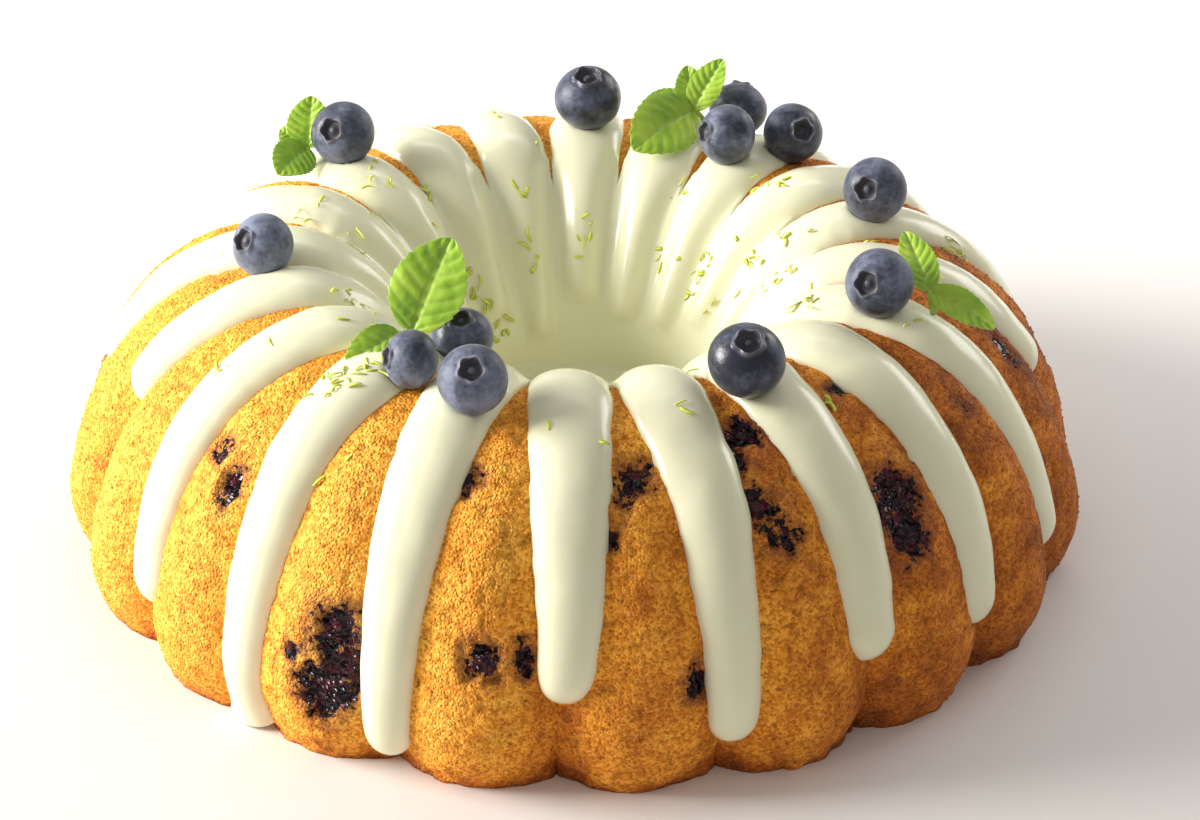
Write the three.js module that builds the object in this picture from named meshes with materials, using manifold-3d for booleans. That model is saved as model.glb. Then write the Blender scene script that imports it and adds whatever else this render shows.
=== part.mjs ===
// A fluted ring cake, iced down every valley and topped with blueberries and mint.
// Millimetres, +Z up. The origin is the middle of the underside.
import * as THREE from "three";
import * as BufferGeometryUtils from "three/addons/utils/BufferGeometryUtils.js";
import { ParametricGeometry } from "three/addons/geometries/ParametricGeometry.js";
import Module from "manifold-3d";

const wasm = await Module();
wasm.setup();

// Cake: the ring's section, then the flutes that run over it
const LOBES = 20;
const FIRST_VALLEY = -91; // degrees, the valley that faces the front
const CREST_HEIGHT = 71;
const CREST_RADIUS = 71;
const WALL_RADIUS = 126; // where the outer wall would meet the table without its tuck
const WALL_ROUNDNESS = 2.1; // 2 is an ellipse, more is squarer
const FOOT_TUCK = 5; // how far the foot draws in
const FOOT_HEIGHT = 18;
const HOLE_RADIUS = 36;
const HOLE_HEIGHT = 20; // the inner wall is straight below this
const FLUTE_DEPTH = { foot: 8, wall: 6.5, crest: 3, hole: 2 };
const LOBE_ROUNDNESS = 0.8; // below 1 the lobes are full and the valleys sharp
const LOBE_VARIATION = 0.9; // how much some lobes stand proud of others
const CAKE_STEPS = { around: 80, wall: 7, inside: 4 };

// Icing: a coat in the hole, a pool at its bottom and one bead down each valley
const COAT_THICKNESS = { top: 1.2, pool: 4 };
const COAT_START = 1.25; // station on the section, where 1 is the crest and 2 the hole
const COAT_STEPS = { around: 20, along: 6 };
const POOL_HEIGHT = 22;
const BEAD_HALF_WIDTH = { foot: 5.4, wall: 8, crest: 9.6, hole: 5.6 };
const BEAD_NARROWING = 0.03; // how much narrower the beads at the rear are, and wider at the front
const BEAD_HEIGHT = { foot: 6.2, wall: 7.4, crest: 7, hole: 7 }; // above the valley's floor
const BEAD_EDGE = 0.35; // where a bead is widest, as a share of its height
const BEAD_ROOT = 5; // how deep a bead's hidden half reaches below the valley's floor
const BEAD_TIP_LENGTH = 7; // over which a bead's end rounds off
const BEAD_SQUARENESS = 0.8; // 1 is an ellipse, less is a flatter top with steeper sides
const BEAD_INNER_END = 1.88; // station where a bead melts into the pool
const BEAD_STEPS = { around: 6, along: 9 };
const CLEARANCE = 0.3; // between any two pieces that touch
// One bead for each valley, counted from the front to the right, in millimetres and degrees
const BEADS = [
  { tip: 23.5, drift: 0.6, bow: 1 },
  { tip: 10, drift: 0.5, bow: 0.6 },
  { tip: 22.8, drift: -0.5, bow: 0.3 },
  { tip: 18, drift: -2 },
  { tip: 20, drift: -3.4 },
  { tip: 45, drift: 0.5 },
  { tip: 30, drift: 1 },
  { tip: 25, drift: 0.5 },
  { tip: 30, drift: -1 },
  { tip: 19, drift: 0 },
  { tip: 28, drift: 1 },
  { tip: 34, drift: -0.5 },
  { tip: 24, drift: 0.5 },
  { tip: 33, drift: 1.5 },
  { tip: 20, drift: 0 },
  { tip: 36, drift: -6 },
  { tip: 50, drift: 0 },
  { tip: 16.5, drift: 3, bow: -2 },
  { tip: 0.5, drift: 0, bow: -0.5 },
  { tip: 1, drift: 0, bow: -0.4 },
];
// Where one bead has run off the cake and spread a little
const PUDDLE = { azimuth: -125.6, radius: 116, across: 6.6, outward: 10, height: 8 };

// Blueberries: place on the ring, diameter, and where the crown points
const BERRY_FLATTENING = 0.9;
const BERRY_SINK = 1.4; // how far a berry presses into the icing
const CROWN = { radius: 0.36, depth: 0.16 }; // shares of the berry's radius
const BERRY_STEPS = { around: 9, along: 7 };
const BERRIES = [
  { name: "blueberry_front_left", azimuth: -119.5, radius: 73.5, diameter: 13.4, crown: [200, 15] },
  { name: "blueberry_front_rear", azimuth: -120, radius: 56, diameter: 14.2, crown: [262, 70] },
  { name: "blueberry_front_near", azimuth: -106, radius: 78.5, diameter: 15.8, crown: [268, 48] },
  { name: "blueberry_front_right", azimuth: -60, radius: 75.8, diameter: 17.4, crown: [272, 62] },
  { name: "blueberry_right", azimuth: -22, radius: 75, diameter: 16.2, crown: [238, 22] },
  { name: "blueberry_right_rear", azimuth: 16, radius: 74.5, diameter: 15.9, crown: [245, 25] },
  { name: "blueberry_rear_near", azimuth: 55, radius: 66, diameter: 15.3, crown: [205, 15] },
  { name: "blueberry_rear_far", azimuth: 62, radius: 84, diameter: 15.2, crown: [80, 50] },
  { name: "blueberry_rear_right", azimuth: 47.5, radius: 78.6, diameter: 15.3, crown: [292, 30] },
  { name: "blueberry_rear", azimuth: 89, radius: 70, diameter: 17.4, crown: [262, 70] },
  { name: "blueberry_left_rear", azimuth: 142, radius: 75.5, diameter: 16.1, crown: [245, 30] },
  { name: "blueberry_left", azimuth: -171.4, radius: 75, diameter: 15.2, crown: [225, 30] },
];

// Mint: each sprig is one or more leaves joined at the stem
const LEAF_THICKNESS = 1;
const LEAF_STEPS = { around: 6, along: 4 };
const LEAF_OUTLINE = 0.85; // below 1 the leaf is widest nearer its stem
const LEAF_ROUNDNESS = 0.65; // below 1 the leaf is rounder than a sine
const LEAF_FOLD = 0.22; // how steeply the two halves rise from the midrib
const STEM_RADIUS = 1.2;
const SPRIGS = [
  {
    name: "mint_leaf_front_tall",
    stem: { azimuth: -126.1, radius: 62.7, height: 76.6 },
    leaves: [{ heading: 63, pitch: 48, roll: -14, length: 24.1, width: 17, bend: 12 }],
  },
  {
    name: "mint_leaf_front_low",
    stem: { azimuth: -127.1, radius: 65.9, height: 77.5 },
    leaves: [{ heading: -148, pitch: -12, roll: 32, length: 14.9, width: 8.2, bend: 18 }],
  },
  {
    name: "mint_sprig_left_rear",
    stem: { azimuth: 146.4, radius: 83.1, height: 76.5 },
    leaves: [
      { heading: 84, pitch: 62, roll: 0, length: 13.3, width: 10.7, bend: 12 },
      { heading: 160, pitch: 32, roll: 40, length: 8.4, width: 8.4, bend: 16 },
      { heading: -124, pitch: -4, roll: 30, length: 12.3, width: 10.7, bend: 20 },
    ],
  },
  {
    name: "mint_sprig_rear",
    stem: { azimuth: 67.2, radius: 73.4, height: 79.5 },
    leaves: [
      { heading: -137, pitch: -2, roll: 38, length: 21.8, width: 16.1, bend: 24 },
      { heading: 169, pitch: 8, roll: 40, length: 13.8, width: 9.1, bend: 18 },
      { heading: 43, pitch: 54, roll: -25, length: 15.2, width: 8.2, bend: 12 },
      { heading: 103, pitch: 50, roll: 8, length: 12.1, width: 7.6, bend: 12 },
    ],
  },
  {
    name: "mint_sprig_right",
    stem: { azimuth: -17.6, radius: 86.2, height: 77 },
    leaves: [
      { heading: 108, pitch: 32, roll: 12, length: 18.3, width: 7.9, bend: 16 },
      { heading: -33, pitch: -2, roll: -32, length: 18.1, width: 7.4, bend: 26 },
    ],
  },
];

const { degToRad: radians, lerp, clamp, smoothstep } = THREE.MathUtils;

// A setting at a station of the section, between its values at the foot, mid wall, crest and hole
function atStation(setting, station) {
  if (station < 0.5) return lerp(setting.foot, setting.wall, station * 2);
  if (station < 1) return lerp(setting.wall, setting.crest, station * 2 - 1);
  return lerp(setting.crest, setting.hole, Math.min(station - 1, 1));
}

// The smooth section of the ring as radius and height
function sectionPoint(station) {
  const angle = (clamp(station, 0, 2) * Math.PI) / 2;
  const rise = Math.sin(angle);
  const run = Math.cos(angle);
  if (station > 1) {
    const radius = lerp(CREST_RADIUS, HOLE_RADIUS, -run);
    return new THREE.Vector2(radius, lerp(HOLE_HEIGHT, CREST_HEIGHT, rise));
  }
  const height = CREST_HEIGHT * rise ** (2 / WALL_ROUNDNESS);
  const spread = Math.max(0, run) ** (2 / WALL_ROUNDNESS);
  const tuck = FOOT_TUCK * Math.max(0, 1 - height / FOOT_HEIGHT) ** 2;
  return new THREE.Vector2(lerp(CREST_RADIUS, WALL_RADIUS, spread) - tuck, height);
}

// The direction that faces out of the section at a station
function sectionNormal(station) {
  const step = 0.01;
  const along = sectionPoint(Math.min(station + step, 2)).sub(sectionPoint(Math.max(station - step, 0)));
  return new THREE.Vector2(along.y, -along.x).normalize();
}

// A point over the smooth ring, lifted off it along its normal
function ringPoint(azimuth, station, lift) {
  const { x: radius, y: height } = sectionPoint(station).addScaledVector(sectionNormal(station), lift);
  return new THREE.Vector3(radius * Math.cos(azimuth), radius * Math.sin(azimuth), Math.max(height, 0));
}

// How far the fluted crust lies below the smooth ring. Opposite lobes are alike, so the origin stays central
function fluteLift(azimuth, station) {
  const turn = (LOBES / 2) * (azimuth - radians(FIRST_VALLEY));
  const fullness = Math.abs(Math.sin(turn)) ** LOBE_ROUNDNESS;
  const wave = 0.6 * Math.sin(2 * azimuth + 0.7) + 0.4 * Math.sin(6 * azimuth + 2);
  const unevenness = LOBE_VARIATION * 0.5 * (1 - wave) * Math.max(0, 1 - station);
  return -atStation(FLUTE_DEPTH, station) * (1 - fullness) - unevenness;
}

// The station whose smooth section has this radius, on the wall or inside
function stationAt(radius) {
  if (radius < CREST_RADIUS) {
    return 1 + Math.asin((CREST_RADIUS - radius) / (CREST_RADIUS - HOLE_RADIUS)) / (Math.PI / 2);
  }
  const spread = (radius - CREST_RADIUS) / (WALL_RADIUS - CREST_RADIUS);
  return Math.acos(spread ** (WALL_ROUNDNESS / 2)) / (Math.PI / 2);
}

// A geometry with only its positions, its seams merged
function bareMesh(geometry) {
  geometry.deleteAttribute("normal");
  geometry.deleteAttribute("uv");
  return BufferGeometryUtils.mergeVertices(geometry, 1e-3);
}

// A closed mesh from a surface given by a function of two shares
function closedSurface(pointAt, around, along) {
  return bareMesh(new ParametricGeometry((u, v, target) => target.copy(pointAt(u, v)), around, along));
}

// The triangles of a geometry that have three different corners, turned to face out
function outwardTriangles(geometry) {
  const index = geometry.getIndex().array;
  const position = geometry.getAttribute("position");
  const corner = [new THREE.Vector3(), new THREE.Vector3(), new THREE.Vector3()];
  const kept = [];
  let volume = 0;
  for (let i = 0; i < index.length; i += 3) {
    const [a, b, c] = index.slice(i, i + 3);
    if (a === b || b === c || a === c) continue;
    kept.push(a, b, c);
    [a, b, c].forEach((vertex, k) => corner[k].fromBufferAttribute(position, vertex));
    volume += corner[0].dot(corner[1].cross(corner[2]));
  }
  return volume > 0 ? kept : kept.reverse();
}

function toSolid(geometry) {
  const vertProperties = new Float32Array(geometry.getAttribute("position").array);
  const triVerts = new Uint32Array(outwardTriangles(geometry));
  return new wasm.Manifold(new wasm.Mesh({ numProp: 3, vertProperties, triVerts }));
}

function toGeometry(solid) {
  const { vertProperties, triVerts } = solid.getMesh();
  const geometry = new THREE.BufferGeometry();
  geometry.setAttribute("position", new THREE.BufferAttribute(vertProperties, 3));
  geometry.setIndex(new THREE.BufferAttribute(triVerts, 1));
  return geometry;
}

// The fluted ring, grown by a clearance and reaching down to a level
function ringSolid(growth, bottom) {
  const rows = CAKE_STEPS.wall + CAKE_STEPS.inside + 3;
  const floor = (azimuth, radius) =>
    new THREE.Vector3(radius * Math.cos(azimuth), radius * Math.sin(azimuth), bottom);
  const pointAt = (u, v) => {
    const azimuth = radians(FIRST_VALLEY) + u * 2 * Math.PI;
    const row = Math.round(v * rows) % rows;
    const inside = row - CAKE_STEPS.wall;
    const station = inside <= 0 ? row / CAKE_STEPS.wall : 1 + inside / CAKE_STEPS.inside;
    const lift = (at) => fluteLift(azimuth, at) + growth;
    if (inside <= CAKE_STEPS.inside) return ringPoint(azimuth, station, lift(station));
    const foot = ringPoint(azimuth, 0, lift(0));
    const edge = inside === CAKE_STEPS.inside + 1 ? ringPoint(azimuth, 2, lift(2)) : foot;
    return floor(azimuth, Math.hypot(edge.x, edge.y));
  };
  return toSolid(closedSurface(pointAt, CAKE_STEPS.around, rows));
}

// The coat over the inner wall and the pool at its bottom, turned about the axis
function coatSolid() {
  const outline = [new THREE.Vector2(0, 0), new THREE.Vector2(HOLE_RADIUS + FLUTE_DEPTH.hole, 0)];
  const stations = [];
  for (let i = 0; i <= COAT_STEPS.along; i += 1) stations.push(lerp(2, COAT_START, i / COAT_STEPS.along));
  const lifted = (station, lift) => sectionPoint(station).addScaledVector(sectionNormal(station), lift);
  stations.forEach((station) => outline.push(lifted(station, -2 * FLUTE_DEPTH.hole)));
  const { top, pool } = COAT_THICKNESS;
  const thickness = (station) => lerp(top, pool, smoothstep(station, 1.55, 1.96));
  const surface = stations.reverse().map((station) => lifted(station, thickness(station)));
  outline.push(...surface.filter((point) => point.y > POOL_HEIGHT + 1));
  outline.push(new THREE.Vector2(HOLE_RADIUS - pool, POOL_HEIGHT), new THREE.Vector2(0, POOL_HEIGHT));
  return toSolid(bareMesh(new THREE.LatheGeometry(outline, COAT_STEPS.around).rotateX(Math.PI / 2)));
}

function beadHalfWidth(valley, station) {
  return atStation(BEAD_HALF_WIDTH, station) * (1 - BEAD_NARROWING * Math.sin(valley));
}

// One bead of icing, from its round tip on the wall, over the crest and down into the hole
function beadSolid({ tip, drift, bow = 0 }, index) {
  const valley = radians(FIRST_VALLEY + (index * 360) / LOBES);
  const tipStation = Math.asin((tip / CREST_HEIGHT) ** (WALL_ROUNDNESS / 2)) / (Math.PI / 2);
  const pointAt = (u, v) => {
    const share = (1 - Math.cos(Math.PI * v)) / 2;
    const station = lerp(tipStation, BEAD_INNER_END, share);
    const fromTip = sectionPoint(station).distanceTo(sectionPoint(tipStation));
    const fromEnd = sectionPoint(station).distanceTo(sectionPoint(BEAD_INNER_END));
    const rounding = clamp(Math.min(fromTip, fromEnd) / BEAD_TIP_LENGTH, 0, 1);
    const fullness = Math.sqrt(1 - (1 - rounding) ** 2);
    const angle = u * 2 * Math.PI;
    const across = Math.sign(Math.cos(angle)) * Math.abs(Math.cos(angle)) ** BEAD_SQUARENESS;
    const up = Math.sin(angle);
    const height = atStation(BEAD_HEIGHT, station);
    const edge = BEAD_EDGE * height;
    const reach = up > 0 ? (height - edge) * up ** BEAD_SQUARENESS : (BEAD_ROOT + edge) * up;
    const halfWidth = beadHalfWidth(valley, station);
    const sideways = (across * fullness * halfWidth) / sectionPoint(station).x;
    const below = Math.max(0, 1 - station);
    const azimuth = valley + radians(drift * below + bow * Math.sin(Math.PI * below)) + sideways;
    return ringPoint(azimuth, station, (edge + reach) * fullness - atStation(FLUTE_DEPTH, station));
  };
  return toSolid(closedSurface(pointAt, BEAD_STEPS.around, BEAD_STEPS.along));
}

// How high crust or icing stands over the smooth ring, for something to rest on
function restingLift(azimuth, station) {
  const pitch = radians(360 / LOBES);
  const turn = (azimuth - radians(FIRST_VALLEY)) / pitch;
  const valley = radians(FIRST_VALLEY) + Math.round(turn) * pitch;
  const aside = Math.abs(azimuth - valley) * sectionPoint(station).x;
  const share = aside / beadHalfWidth(valley, station);
  const crust = fluteLift(azimuth, station) + CLEARANCE;
  if (share >= 1) return crust;
  const height = atStation(BEAD_HEIGHT, station);
  const dome = height * lerp(BEAD_EDGE, 1, Math.sqrt(1 - share ** (2 / BEAD_SQUARENESS)));
  return Math.max(crust, dome - atStation(FLUTE_DEPTH, station) - BERRY_SINK);
}

function direction(heading, elevation) {
  const level = Math.cos(radians(elevation));
  const turn = radians(heading);
  return new THREE.Vector3(level * Math.cos(turn), level * Math.sin(turn), Math.sin(radians(elevation)));
}

// A blueberry about its middle: round, a little flat, with a sunk crown on top
function berrySurface(radius) {
  const { around, along } = BERRY_STEPS;
  const rimAngle = Math.acos(CROWN.radius);
  const pointAt = (u, v) => {
    const row = Math.round(v * along);
    const angle = lerp(-Math.PI / 2, rimAngle, Math.min(row / (along - 2), 1));
    const sunk = row > along - 2;
    const width = sunk ? (along - row) * CROWN.radius * 0.75 : Math.cos(angle);
    const height = Math.sin(angle) - (sunk ? CROWN.depth : 0);
    const turn = u * 2 * Math.PI;
    const point = new THREE.Vector3(width * Math.cos(turn), width * Math.sin(turn), height);
    point.z *= BERRY_FLATTENING;
    return point.multiplyScalar(radius);
  };
  return closedSurface(pointAt, around, along);
}

function berrySolid({ azimuth, radius, diameter, crown }, growth) {
  const station = stationAt(radius);
  const turn = radians(azimuth);
  const middle = ringPoint(turn, station, restingLift(turn, station) + (diameter / 2) * BERRY_FLATTENING);
  const facing = new THREE.Quaternion().setFromUnitVectors(new THREE.Vector3(0, 0, 1), direction(...crown));
  const placed = new THREE.Matrix4().compose(middle, facing, new THREE.Vector3(1, 1, 1));
  return toSolid(berrySurface(diameter / 2 + growth).applyMatrix4(placed));
}

// One leaf from the stem outward: pointed, folded along its midrib and bent down or up along its length
function leafSolid(stem, { heading, pitch, roll, length, width, bend }, growth) {
  const { around, along } = LEAF_STEPS;
  const pointAt = (u, v) => {
    const middle = stem.clone();
    const steps = 12;
    for (let i = 0; i < steps; i += 1) {
      const slope = pitch - (bend * v * (i + 0.5)) / steps;
      middle.addScaledVector(direction(heading, slope), (length * v) / steps);
    }
    const axis = direction(heading, pitch - bend * v);
    const side = direction(heading - 90, 0).applyAxisAngle(axis, radians(-roll));
    const up = direction(heading, pitch - bend * v + 90).applyAxisAngle(axis, radians(-roll));
    const angle = u * 2 * Math.PI;
    const outline = Math.sin(Math.PI * v ** LEAF_OUTLINE) ** LEAF_ROUNDNESS;
    const ends = Math.sqrt(Math.sin(Math.PI * v));
    const halfWidth = LEAF_THICKNESS * ends + (width / 2 - LEAF_THICKNESS) * outline + growth * ends;
    const aside = halfWidth * Math.cos(angle);
    const fold = LEAF_FOLD * Math.abs(aside);
    const thick = (LEAF_THICKNESS / 2 + growth) * ends * Math.sin(angle);
    return middle.addScaledVector(side, aside).addScaledVector(up, thick + fold);
  };
  return toSolid(closedSurface(pointAt, around, along));
}

function sprigSolid({ stem, leaves }, growth) {
  const turn = radians(stem.azimuth);
  const base = new THREE.Vector3(stem.radius * Math.cos(turn), stem.radius * Math.sin(turn), stem.height);
  const knot = new THREE.SphereGeometry(STEM_RADIUS + growth, 6, 4).translate(base.x, base.y, base.z);
  let solid = toSolid(bareMesh(knot));
  leaves.forEach((leaf) => {
    solid = solid.add(leafSolid(base, leaf, growth));
  });
  return solid;
}

// Icing that has run off the cake: the upper half of a flat ball
function puddleSolid() {
  const { azimuth, radius, across, outward, height } = PUDDLE;
  const ball = bareMesh(new THREE.SphereGeometry(1, 10, 6).rotateX(Math.PI / 2));
  ball.scale(outward, across, height).translate(radius, 0, 0).rotateZ(radians(azimuth));
  const position = ball.getAttribute("position");
  for (let i = 0; i < position.count; i += 1) position.setZ(i, Math.max(position.getZ(i), 0));
  return toSolid(ball);
}

function icingSolid(toppings) {
  let solid = coatSolid().add(puddleSolid());
  BEADS.forEach((bead, index) => {
    solid = solid.add(beadSolid(bead, index));
  });
  solid = solid.subtract(ringSolid(1.5 * CLEARANCE, -5));
  toppings.forEach((topping) => {
    solid = solid.subtract(topping);
  });
  return solid;
}

const MATERIALS = {
  crust: new THREE.MeshStandardMaterial({ color: 0xc8842c, roughness: 0.85 }),
  icing: new THREE.MeshStandardMaterial({ color: 0xf0ecd2, roughness: 0.25 }),
  blueberry: new THREE.MeshStandardMaterial({ color: 0x2c3348, roughness: 0.5 }),
  mint: new THREE.MeshStandardMaterial({ color: 0x5fa03a, roughness: 0.5 }),
};

const cake = new THREE.Group();

function addPiece(name, solid, material) {
  const piece = new THREE.Mesh(toGeometry(solid), material);
  piece.name = name;
  cake.add(piece);
}

const grownBerries = BERRIES.map((berry) => berrySolid(berry, CLEARANCE));
const grownSprigs = SPRIGS.map((sprig) => sprigSolid(sprig, CLEARANCE));

addPiece("cake", ringSolid(0, 0), MATERIALS.crust);
addPiece("icing", icingSolid([...grownBerries, ...grownSprigs]), MATERIALS.icing);
BERRIES.forEach((berry) => addPiece(berry.name, berrySolid(berry, 0), MATERIALS.blueberry));
SPRIGS.forEach((sprig) => {
  const solid = grownBerries.reduce((left, berry) => left.subtract(berry), sprigSolid(sprig, 0));
  addPiece(sprig.name, solid, MATERIALS.mint);
});

export default cake;
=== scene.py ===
"""An iced, fluted blueberry ring cake with berries, mint and zest, dressed over its CAD frame."""
import math
from functools import cache

import bmesh
import bpy
import numpy as np
from mathutils import Matrix, Vector


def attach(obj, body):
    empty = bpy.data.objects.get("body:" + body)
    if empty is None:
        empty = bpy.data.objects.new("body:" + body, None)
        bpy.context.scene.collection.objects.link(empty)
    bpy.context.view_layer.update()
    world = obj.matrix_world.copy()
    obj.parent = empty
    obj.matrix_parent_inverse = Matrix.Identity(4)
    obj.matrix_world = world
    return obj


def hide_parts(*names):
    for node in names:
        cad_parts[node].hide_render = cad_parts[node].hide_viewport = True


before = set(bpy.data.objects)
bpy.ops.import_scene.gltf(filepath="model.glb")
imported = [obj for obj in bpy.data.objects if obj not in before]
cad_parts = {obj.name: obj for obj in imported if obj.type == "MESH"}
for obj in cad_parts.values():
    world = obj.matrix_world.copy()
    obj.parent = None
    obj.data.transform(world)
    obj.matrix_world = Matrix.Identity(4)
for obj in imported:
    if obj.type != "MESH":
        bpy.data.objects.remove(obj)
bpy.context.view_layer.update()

MM = 0.001
PI = math.pi

# The ring, in millimetres and degrees, as in the CAD.
# A setting has its values at the foot, mid wall, crest and hole
LOBES = 20
PITCH = 2 * PI / LOBES
FIRST_VALLEY = math.radians(-91)
CREST_HEIGHT = 71
CREST_RADIUS = 71
WALL_RADIUS = 126
WALL_ROUNDNESS = 2.1
FOOT_TUCK = 5
FOOT_HEIGHT = 18
HOLE_RADIUS = 36
HOLE_HEIGHT = 20
SETTING_STATIONS = (0, 0.5, 1, 2)
FLUTE_DEPTH = (8, 6.5, 3, 2)
LOBE_ROUNDNESS = 0.8
LOBE_VARIATION = 0.9

# The icing's beads: how wide and how high above the valley's floor, and where each one ends
BEAD_HALF_WIDTH = (5.4, 8, 9.6, 5.6)
BEAD_NARROWING = 0.03
BEAD_HEIGHT = (6.2, 7.4, 7, 7)
BEAD_EDGE = 0.35
BEAD_SINK = 5
BEAD_TIP_LENGTH = (7, 9)
BEAD_TIPS = (23.5, 10, 22.8, 18, 20, 45, 30, 25, 30, 19, 28, 34, 24, 33, 20, 36, 50, 16.5, 0.5, 1)
BEAD_DRIFTS = (0.6, 0.5, -0.5, -2, -3.4, 0.5, 1, 0.5, -1, 0, 1, -0.5, 0.5, 1.5, 0, -6, 0, 3, 0, 0)
BEAD_BOWS = {0: 1, 1: 0.6, 2: 0.3, 17: -2, 18: -0.5, 19: -0.4}
SPREADING_BEADS = (18,)
COAT_THICKNESS = (1.2, 4.0)
COAT_LIP = 1.25
POOL_HEIGHT = 22
POOL_STEPS = ((1.2, 0.9), (2.8, 0.35), (5, 0.1), (9, 0), (15, 0), (22, 0))  # way in from the wall, and rise

# Berries: azimuth, radius of the place they rest on, diameter, and where the crown points
BERRY_FLATTENING = 0.9
BERRY_SINK = 1.4
BERRIES = {
    "blueberry_front_left": (-119.5, 73.5, 13.4, (200, 15)),
    "blueberry_front_rear": (-120, 56, 14.2, (262, 70)),
    "blueberry_front_near": (-106, 78.5, 15.8, (268, 48)),
    "blueberry_front_right": (-60, 75.8, 17.4, (272, 62)),
    "blueberry_right": (-22, 75, 16.2, (238, 22)),
    "blueberry_right_rear": (16, 74.5, 15.9, (245, 25)),
    "blueberry_rear_near": (55, 66, 15.3, (205, 15)),
    "blueberry_rear_far": (62, 84, 15.2, (80, 50)),
    "blueberry_rear_right": (47.5, 78.6, 15.3, (292, 30)),
    "blueberry_rear": (89, 70, 17.4, (262, 70)),
    "blueberry_left_rear": (142, 75.5, 16.1, (245, 30)),
    "blueberry_left": (-171.4, 75, 15.2, (225, 30)),
}

# How much of each berry's bloom is left, where it isn't about half
BLOOMS = {
    "blueberry_front_right": -0.1,
    "blueberry_front_near": 0.68,
    "blueberry_left": 0.9,
    "blueberry_left_rear": 0.4,
    "blueberry_rear": 0.25,
    "blueberry_rear_right": 0.35,
    "blueberry_rear_far": 0.3,
}

# Mint: stem (azimuth, radius, height), then leaves (heading, pitch, roll, length, width, bend)
LEAF_OUTLINE = 0.85
LEAF_ROUNDNESS = 0.65
LEAF_FOLD = 0.22
LEAF_THICKNESS = 0.5
SPRIGS = {
    "mint_leaf_front_tall": ((-126.1, 62.7, 76.6), [(63, 48, -14, 24.1, 17, 12)]),
    "mint_leaf_front_low": ((-127.1, 65.9, 77.5), [(-148, -12, 32, 14.9, 8.2, 18)]),
    "mint_sprig_left_rear": ((146.4, 83.1, 76.5), [
        (84, 62, 0, 13.3, 10.7, 12), (160, 32, 40, 8.4, 8.4, 16),
        (-124, -4, 30, 12.3, 10.7, 20),
    ]),
    "mint_sprig_rear": ((67.2, 73.4, 79.5), [
        (-137, -2, 38, 21.8, 16.1, 24), (169, 8, 40, 13.8, 9.1, 18),
        (43, 54, -25, 15.2, 8.2, 12), (103, 50, 8, 12.1, 7.6, 12),
    ]),
    "mint_sprig_right": ((-17.6, 86.2, 77), [
        (108, 32, 12, 18.3, 7.9, 16), (-33, -2, -32, 18.1, 7.4, 26),
    ]),
}

# Berries that burst in baking: azimuth, station, half width, half height, depth of the dent, how whole it is
BURSTS = [
    (-115.0, 0.300, 7.4, 7.4, 1.8, 1.1), (-113.0, 0.235, 7.0, 7.4, 2.0, 1.1),
    (-114.8, 0.185, 6.6, 5.6, 2.0, 1.1), (-115.9, 0.155, 6.8, 5.0, 2.2, 1.1),
    (-120.2, 0.232, 2.4, 3.2, 0.5, 0.45), (-138.5, 0.575, 4.2, 4.0, 1.0, 0.55),
    (-134.4, 0.520, 3.6, 6.0, 1.2, 0.6), (-162.5, 0.660, 3.6, 2.6, 0.8, 0.5),
    (-103.4, 0.715, 4.0, 5.0, 1.0, 0.45), (-98.5, 0.300, 6.5, 5.0, 1.3, 0.6),
    (-94.6, 0.310, 2.6, 4.2, 1.8, 0.95), (-82.2, 0.730, 7.0, 6.5, 1.5, 0.6),
    (-85.6, 0.590, 3.2, 4.6, 1.0, 0.5), (-76.2, 0.245, 3.4, 5.0, 1.6, 0.9),
    (-64.0, 0.820, 5.4, 5.0, 1.6, 1.0), (-67.2, 0.765, 4.4, 6.0, 1.4, 0.8),
    (-66.6, 0.610, 6.2, 6.0, 1.8, 0.9), (-64.0, 0.540, 4.0, 6.0, 1.4, 0.6),
    (-47.5, 0.545, 8.4, 7.4, 1.8, 0.95), (-48.0, 0.465, 5.6, 7.0, 1.8, 1.05),
    (-45.0, 0.865, 4.6, 2.6, 0.8, 0.5), (-28.0, 0.620, 3.0, 3.0, 0.8, 0.4),
    (-2.0, 0.765, 5.5, 3.0, 1.0, 0.85), (-9.6, 0.610, 4.8, 6.0, 1.4, 0.95),
    (8.0, 0.40, 5.0, 7.0, 1.4, 0.8), (27.0, 0.62, 3.5, 4.5, 1.0, 0.6),
    (45.0, 0.30, 6.0, 8.0, 1.5, 0.9), (70.0, 0.55, 3.0, 4.0, 1.0, 0.7),
    (98.0, 0.35, 6.5, 7.5, 1.5, 0.9), (117.0, 0.62, 3.6, 3.2, 1.0, 0.6),
    (134.0, 0.28, 4.5, 6.0, 1.3, 0.8), (152.0, 0.50, 3.0, 4.0, 1.0, 0.6),
    (171.0, 0.30, 5.5, 6.5, 1.4, 0.9),
]

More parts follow.
